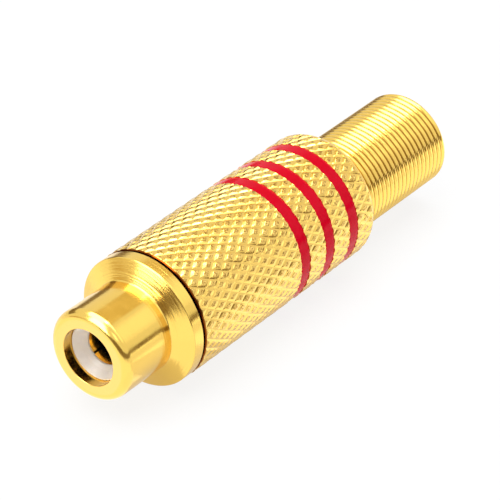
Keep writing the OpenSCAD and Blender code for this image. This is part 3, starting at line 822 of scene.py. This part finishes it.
SHADOW_SHARE = 0.15  # share of real shading in the ground, which is what the shadow darkens
MIRROR_SHARE = 0.35  # further share of real shading where metal mirrors the ground
FLOOR_HALF = 900     # half of the ground's width, in mm
floor = stage_plane("floor", (0, 0, 0), (FLOOR_HALF, 0, 0), (0, FLOOR_HALF, 0))
tree, output = new_material("white_ground", floor)
path, seen = seen_rays(tree)
in_mirrors = add_node(tree, "ShaderNodeMath",
                      {0: path.outputs["Is Glossy Ray"], 1: MIRROR_SHARE}, operation="MULTIPLY")
white_share = add_node(tree, "ShaderNodeMath", {0: seen, 1: 1 - SHADOW_SHARE},
                       operation="MULTIPLY")
share = add_node(tree, "ShaderNodeMath", {0: white_share.outputs[0], 1: in_mirrors.outputs[0]},
                 operation="SUBTRACT")
paper = add_node(tree, "ShaderNodeBsdfPrincipled",
                 {"Base Color": linear("#F4F4F4"), "Roughness": 0.8})
white = add_node(tree, "ShaderNodeEmission", {"Color": linear("#FFFFFF"), "Strength": 1.0})
mixed = add_node(tree, "ShaderNodeMixShader",
                 {0: share.outputs[0], 1: paper.outputs[0], 2: white.outputs[0]})
tree.links.new(mixed.outputs[0], output.inputs["Surface"])

# %% The softbox that lights enamel, plastic and floor
BOX_CENTRE, BOX_SIZE, BOX_WATTS = (-50.0, -65.0, 600.0), (615.0, 1070.0), 4.4
lamp = bpy.data.lights.new("softbox", "AREA")
lamp.shape = "RECTANGLE"
lamp.size, lamp.size_y = BOX_SIZE[0] * MM, BOX_SIZE[1] * MM
lamp.energy = BOX_WATTS
softbox = bpy.data.objects.new("softbox", lamp)
softbox.location = Vector(BOX_CENTRE) * MM
softbox.visible_glossy = False
scene.collection.objects.link(softbox)
print("softbox:", BOX_WATTS, "W, facing down from", BOX_CENTRE[2], "mm")

# %% [markdown]
# ## What the gold mirrors
# Polished gold shows hardly any shade of its own. It shows its surroundings, tinted. So whoever
# photographs it sets up softboxes, white cards and dark walls until the mirror image pleases,
# and the bright and dark bands along the shell, the spring and each flank of the knurl are
# pictures of them. Lamps at every one of these places would wash out the enamel and the floor.
# Here each card glows by itself and is seen in reflections alone, so it changes the metal most
# and the rest only by its gloss. Some are far brighter than plain studio light, up to 11 times
# the white ground. They are stage objects and no pieces of the socket, so without them its gold
# looks plainer.

# %% Panels that stand round the object
WHITE, TAN, BROWN, COOL = "#FFFFFF", "#E7D4A6", "#897965", "#E7E4FF"
PANEL_DISTANCE, PANEL_AIM = 500, (0, -15, AXIS_Z)    # mm, and the point that they all face


def mirrored_only(made, finish, colour, brightness):
    """Gives a stage object light of its own, and shows it in mirror surfaces alone."""
    tree, output = new_material(finish, made)
    glow = add_node(tree, "ShaderNodeEmission",
                    {"Color": linear(colour), "Strength": brightness})
    tree.links.new(glow.outputs[0], output.inputs["Surface"])
    made.visible_camera = made.visible_diffuse = made.visible_shadow = False
    made.visible_transmission = False


def side_and_up(azimuth, elevation):
    """Unit vectors towards a side and height, in degrees, and level across it. Azimuth 0 is in
    front of the mouth and 90 on the +X side; its sine is the X part, its cosine the -Y part."""
    a, e = np.radians(azimuth), np.radians(elevation)
    towards = np.array([np.sin(a) * np.cos(e), -np.cos(a) * np.cos(e), np.sin(e)])
    return towards, np.array([np.cos(a), np.sin(a), 0.0])


# Angles in degrees, sides in mm, and a brightness of which 1 is the white ground's
for name, azimuth, elevation, width, height, brightness in [
        ("front_softbox", -15, 36, 300, 480, 7.0),
        ("side_softbox", 48, 41, 160, 160, 2.0),
        ("right_card", 144, 32, 210, 250, 1.32),
        ("flank_card", 108, 48, 170, 300, 1.6)]:
    towards, across = side_and_up(azimuth, elevation)
    panel = stage_plane(name, towards * PANEL_DISTANCE + PANEL_AIM, across * width / 2,
                        np.cross(towards, across) * height / 2)
    mirrored_only(panel, name + "_cloth", WHITE, brightness)

# %% [markdown]
# ### Level cards, above and on the floor
# A level softbox hangs over the object, with a bright corner that the spring mirrors and a dim
# edge, and a tan ceiling behind it. On the floor lie white cards beside the spring and the
# sleeve and before the flange, and a small cool one that the mouth's flat ring mirrors.

# %% Level cards
CEILING = 450        # height in mm of all that hangs overhead
# Centre and half-sides in mm. Floor cards lie a few tenths of a millimetre up, and the smaller
# ones over the larger one
for name, stuff, centre, half_x, half_y, colour, brightness in [
        ("overhead_softbox", "cloth", (-155, -23, CEILING), 175, 253, WHITE, 5.5),
        ("softbox_corner", "cloth", (50, 100, CEILING), 28, 130, WHITE, 11.0),
        ("softbox_edge", "cloth", (168, 145, CEILING), 92, 85, WHITE, 3.0),
        ("ceiling_card", "cloth", (-115, 365, CEILING), 215, 125, TAN, 1.0),
        ("spring_bounce", "card", (53.3, 62, 0.3), 46.8, 32, WHITE, 1.75),
        ("sleeve_bounce", "card", (13.8, 10.5, 0.3), 7.2, 19.5, WHITE, 1.5),
        ("front_bounce", "card", (-8, -41.5, 0.3), 40, 21.5, WHITE, 1.35),
        ("flange_bounce", "card", (8.5, -22, 0.4), 4, 5, WHITE, 1.3),
        ("mouth_bounce", "card", (-6, -31, 0.5), 7, 6.5, COOL, 1.8)]:
    level = stage_plane(name, centre, (half_x, 0, 0), (0, half_y, 0))
    mirrored_only(level, f"{name}_{stuff}", colour, brightness)

# %% [markdown]
# ### The dark room
# Beyond the table's edge the room is dark. Along the shell, the rim and the spring it shows as
# thin dark streaks, which give a round mirror its shape. A dark world would do this on all
# sides at once, so a strip is laid out instead: it lies on the floor from the table's edge to a
# wall and then stands up. Each row of its table is one direction, with the start of the strip on
# the floor in mm, and the elevations in degrees between which it stands at the wall.

# %% Strips of dark room
WALL_DISTANCE, STRIP_LIFT = 300.0, 0.4     # mm; the strip lies just over the floor
ROOM_MIDDLE = np.array([0.0, -10.0, 0.0])


def room_strip(name, table, colour):
    """Strip of three rows: at its start, at the wall's foot and at the wall's head. A height at
    the wall is its distance times the tangent of the elevation, over the floor for the foot and
    over the object's axis for the head."""
    azimuth, start, low, high = np.array(table, dtype=float).T[:, :, None]
    a = np.radians(azimuth)
    out = np.concatenate([np.sin(a), -np.cos(a), 0 * a], axis=1)
    up = np.array([0.0, 0.0, 1.0])
    foot = STRIP_LIFT + WALL_DISTANCE * np.tan(np.radians(low))
    head = AXIS_Z + WALL_DISTANCE * np.tan(np.radians(high))
    rows = ROOM_MIDDLE + np.stack([out * start + up * foot, out * WALL_DISTANCE + up * foot,
                                   out * WALL_DISTANCE + up * head])
    count = len(table)
    quads = [(i * count + j, i * count + j + 1, (i + 1) * count + j + 1, (i + 1) * count + j)
             for i in (0, 1) for j in range(count - 1)]
    mesh = bpy.data.meshes.new(name)
    mesh.from_pydata((rows.reshape(-1, 3) * MM).tolist(), [], quads)
    strip = bpy.data.objects.new(name, mesh)
    scene.collection.objects.link(strip)
    mirrored_only(strip, name + "_wall", colour, 1.0)


room_strip("front_gap", [(-58, 220, 0, 2), (-50, 130, 0, 5), (-38, 120, 0, 7),
                         (-30, 200, 0, 4)], "#DAC49C")
room_strip("right_room", [
    (-20, 130, 0, 4), (-10, 90, 0, 6), (0, 76, 0, 12), (20, 68, 0, 18), (40, 70, 0, 18),
    (55, 90, 0, 10), (90, 110, 0, 7), (120, 150, 0, 6), (135, 170, 0, 5), (150, 190, 0, 4)],
    BROWN)
room_strip("left_room", [
    (-120, 110, 0, 6), (-128, 90, 0, 11), (-135, 80, 0, 12), (-125, 80, 0, 12),
    (-110, 290, 5, 20), (-90, 299, 8, 22), (-72, 299, 8, 22)], BROWN)

# %% [markdown]
# ## The camera
# The photograph was taken from the front right and from above with a long lens. A camera could
# be moved about until the picture looks right, but its place was worked out from the object's
# known sizes instead, so it stands where the real one stood.

# %% Camera at the photograph's angle
AZIMUTH, ELEVATION = np.radians(37.51), np.radians(32.79)
LENS, SENSOR = 222.99, 36.0     # focal length and the film's width, in mm
AIM = Vector((0, -26.5, AXIS_Z))
ASIDE, ABOVE, AWAY = 15.60, 10.48, 248.95    # from the aim, in the camera's own directions
right = Vector((np.cos(AZIMUTH), np.sin(AZIMUTH), 0))
forward = Vector((-np.sin(AZIMUTH) * np.cos(ELEVATION), np.cos(AZIMUTH) * np.cos(ELEVATION),
                  -np.sin(ELEVATION)))
up = right.cross(forward)
camera_data = bpy.data.cameras.new("camera")
camera_data.lens, camera_data.sensor_width = LENS, SENSOR
camera_data.clip_start = 0.01
camera = bpy.data.objects.new("camera", camera_data)
stand = AIM + ASIDE * right + ABOVE * up - AWAY * forward
camera.matrix_world = Matrix((
    (right.x, up.x, -forward.x, stand.x * MM), (right.y, up.y, -forward.y, stand.y * MM),
    (right.z, up.z, -forward.z, stand.z * MM), (0, 0, 0, 1)))
scene.collection.objects.link(camera)
scene.camera = camera
print("camera at", [round(v, 1) for v in stand], "mm")
